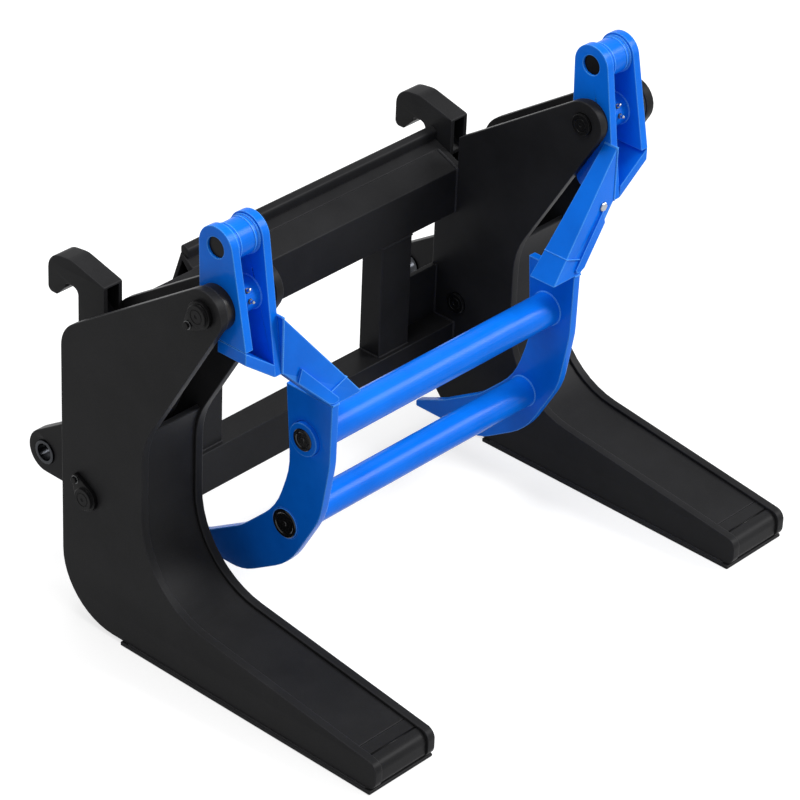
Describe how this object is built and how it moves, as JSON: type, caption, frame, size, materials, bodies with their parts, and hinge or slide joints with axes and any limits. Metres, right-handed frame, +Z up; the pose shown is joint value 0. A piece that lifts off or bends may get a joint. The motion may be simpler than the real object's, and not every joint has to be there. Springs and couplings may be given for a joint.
{
  "type": "log grapple",
  "caption": "Loader log grapple: welded two-arm fork frame with coupler hooks and lower ears, and a hinged clamp with cross tubes worked by hydraulic cylinders.",
  "frame": {"origin": "middle of the base, on the ground plane", "axes": "+X across the arms, tines point to -Y, +Z up"},
  "size_m": [1.3446, 1.086, 1.0759],
  "materials": {
    "frame_black": "satin black paint",
    "boss_black": "black paint on turned rings",
    "pin_black": "blackened steel",
    "bush_steel": "bare turned steel",
    "clamp_blue": "gloss blue paint",
    "cap_black": "matt black plug",
    "barrel_black": "satin black paint",
    "rod_chrome": "hard chrome"
  },
  "bodies": {
    "frame": {"left_outer_plate": "frame_black", "left_inner_plate": "frame_black", "left_wrap_plate": "frame_black", "left_tine_nose": "frame_black", "left_sole_plate": "frame_black", "left_hook": "frame_black", "left_ear": "frame_black", "left_post": "frame_black", "left_rear_web": "frame_black", "left_outer_boss": "boss_black", "left_inner_boss": "boss_black", "left_pivot_pin": "pin_black", "left_outer_base_pin": "pin_black", "left_inner_base_pin": "pin_black", "left_ear_bush": "bush_steel", "right_outer_plate": "frame_black", "right_inner_plate": "frame_black", "right_wrap_plate": "frame_black", "right_tine_nose": "frame_black", "right_sole_plate": "frame_black", "right_hook": "frame_black", "right_ear": "frame_black", "right_post": "frame_black", "right_rear_web": "frame_black", "right_outer_boss": "boss_black", "right_inner_boss": "boss_black", "right_pivot_pin": "pin_black", "right_outer_base_pin": "pin_black", "right_inner_base_pin": "pin_black", "right_ear_bush": "bush_steel", "upper_beam": "frame_black", "rear_beam": "frame_black", "rear_rail": "frame_black", "lower_beam": "frame_black"},
    "clamp": {"left_outer_cheek": "clamp_blue", "left_inner_cheek": "clamp_blue", "left_pivot_sleeve": "clamp_blue", "left_clevis_web": "clamp_blue", "left_box_arm": "clamp_blue", "left_curved_plate": "clamp_blue", "left_head_pin": "pin_black", "left_upper_tube_cap": "cap_black", "left_lower_tube_cap": "cap_black", "right_outer_cheek": "clamp_blue", "right_inner_cheek": "clamp_blue", "right_pivot_sleeve": "clamp_blue", "right_clevis_web": "clamp_blue", "right_box_arm": "clamp_blue", "right_curved_plate": "clamp_blue", "right_head_pin": "pin_black", "right_upper_tube_cap": "cap_black", "right_lower_tube_cap": "cap_black", "upper_tube": "clamp_blue", "lower_tube": "clamp_blue"},
    "left_rod": {"left_rod": "rod_chrome", "left_rod_eye": "clamp_blue"},
    "left_barrel": {"left_barrel": "barrel_black"},
    "right_rod": {"right_rod": "rod_chrome", "right_rod_eye": "clamp_blue"},
    "right_barrel": {"right_barrel": "barrel_black"}
  },
  "joints": [
    {"name": "clamp_hinge", "type": "hinge", "parent": "frame", "child": "clamp", "pos_m": [0, -0.042, 0.903], "axis": [-1, 0, 0], "range_deg": [0, 75]},
    {"name": "left_rod_turn", "type": "hinge", "parent": "clamp", "child": "left_rod", "pos_m": [-0.559, -0.033, 1.03], "axis": [-1, 0, 0], "range_deg": [-69, 0]},
    {"name": "left_barrel_slide", "type": "slide", "parent": "left_rod", "child": "left_barrel", "axis": [0, -0.4086, 0.9127], "range_m": [0, 0.132]},
    {"name": "right_rod_turn", "type": "hinge", "parent": "clamp", "child": "right_rod", "pos_m": [0.559, -0.033, 1.03], "axis": [-1, 0, 0], "range_deg": [-69, 0]},
    {"name": "right_barrel_slide", "type": "slide", "parent": "right_rod", "child": "right_barrel", "axis": [0, -0.4086, 0.9127], "range_m": [0, 0.132]}
  ],
  "couplings": [
    {"joint": "left_rod_turn", "follows": "clamp_hinge", "ratio": -0.9077},
    {"joint": "left_barrel_slide", "follows": "clamp_hinge", "m_per_rad": 0.09957},
    {"joint": "right_rod_turn", "follows": "clamp_hinge", "ratio": -0.9077},
    {"joint": "right_barrel_slide", "follows": "clamp_hinge", "m_per_rad": 0.09957}
  ]
}
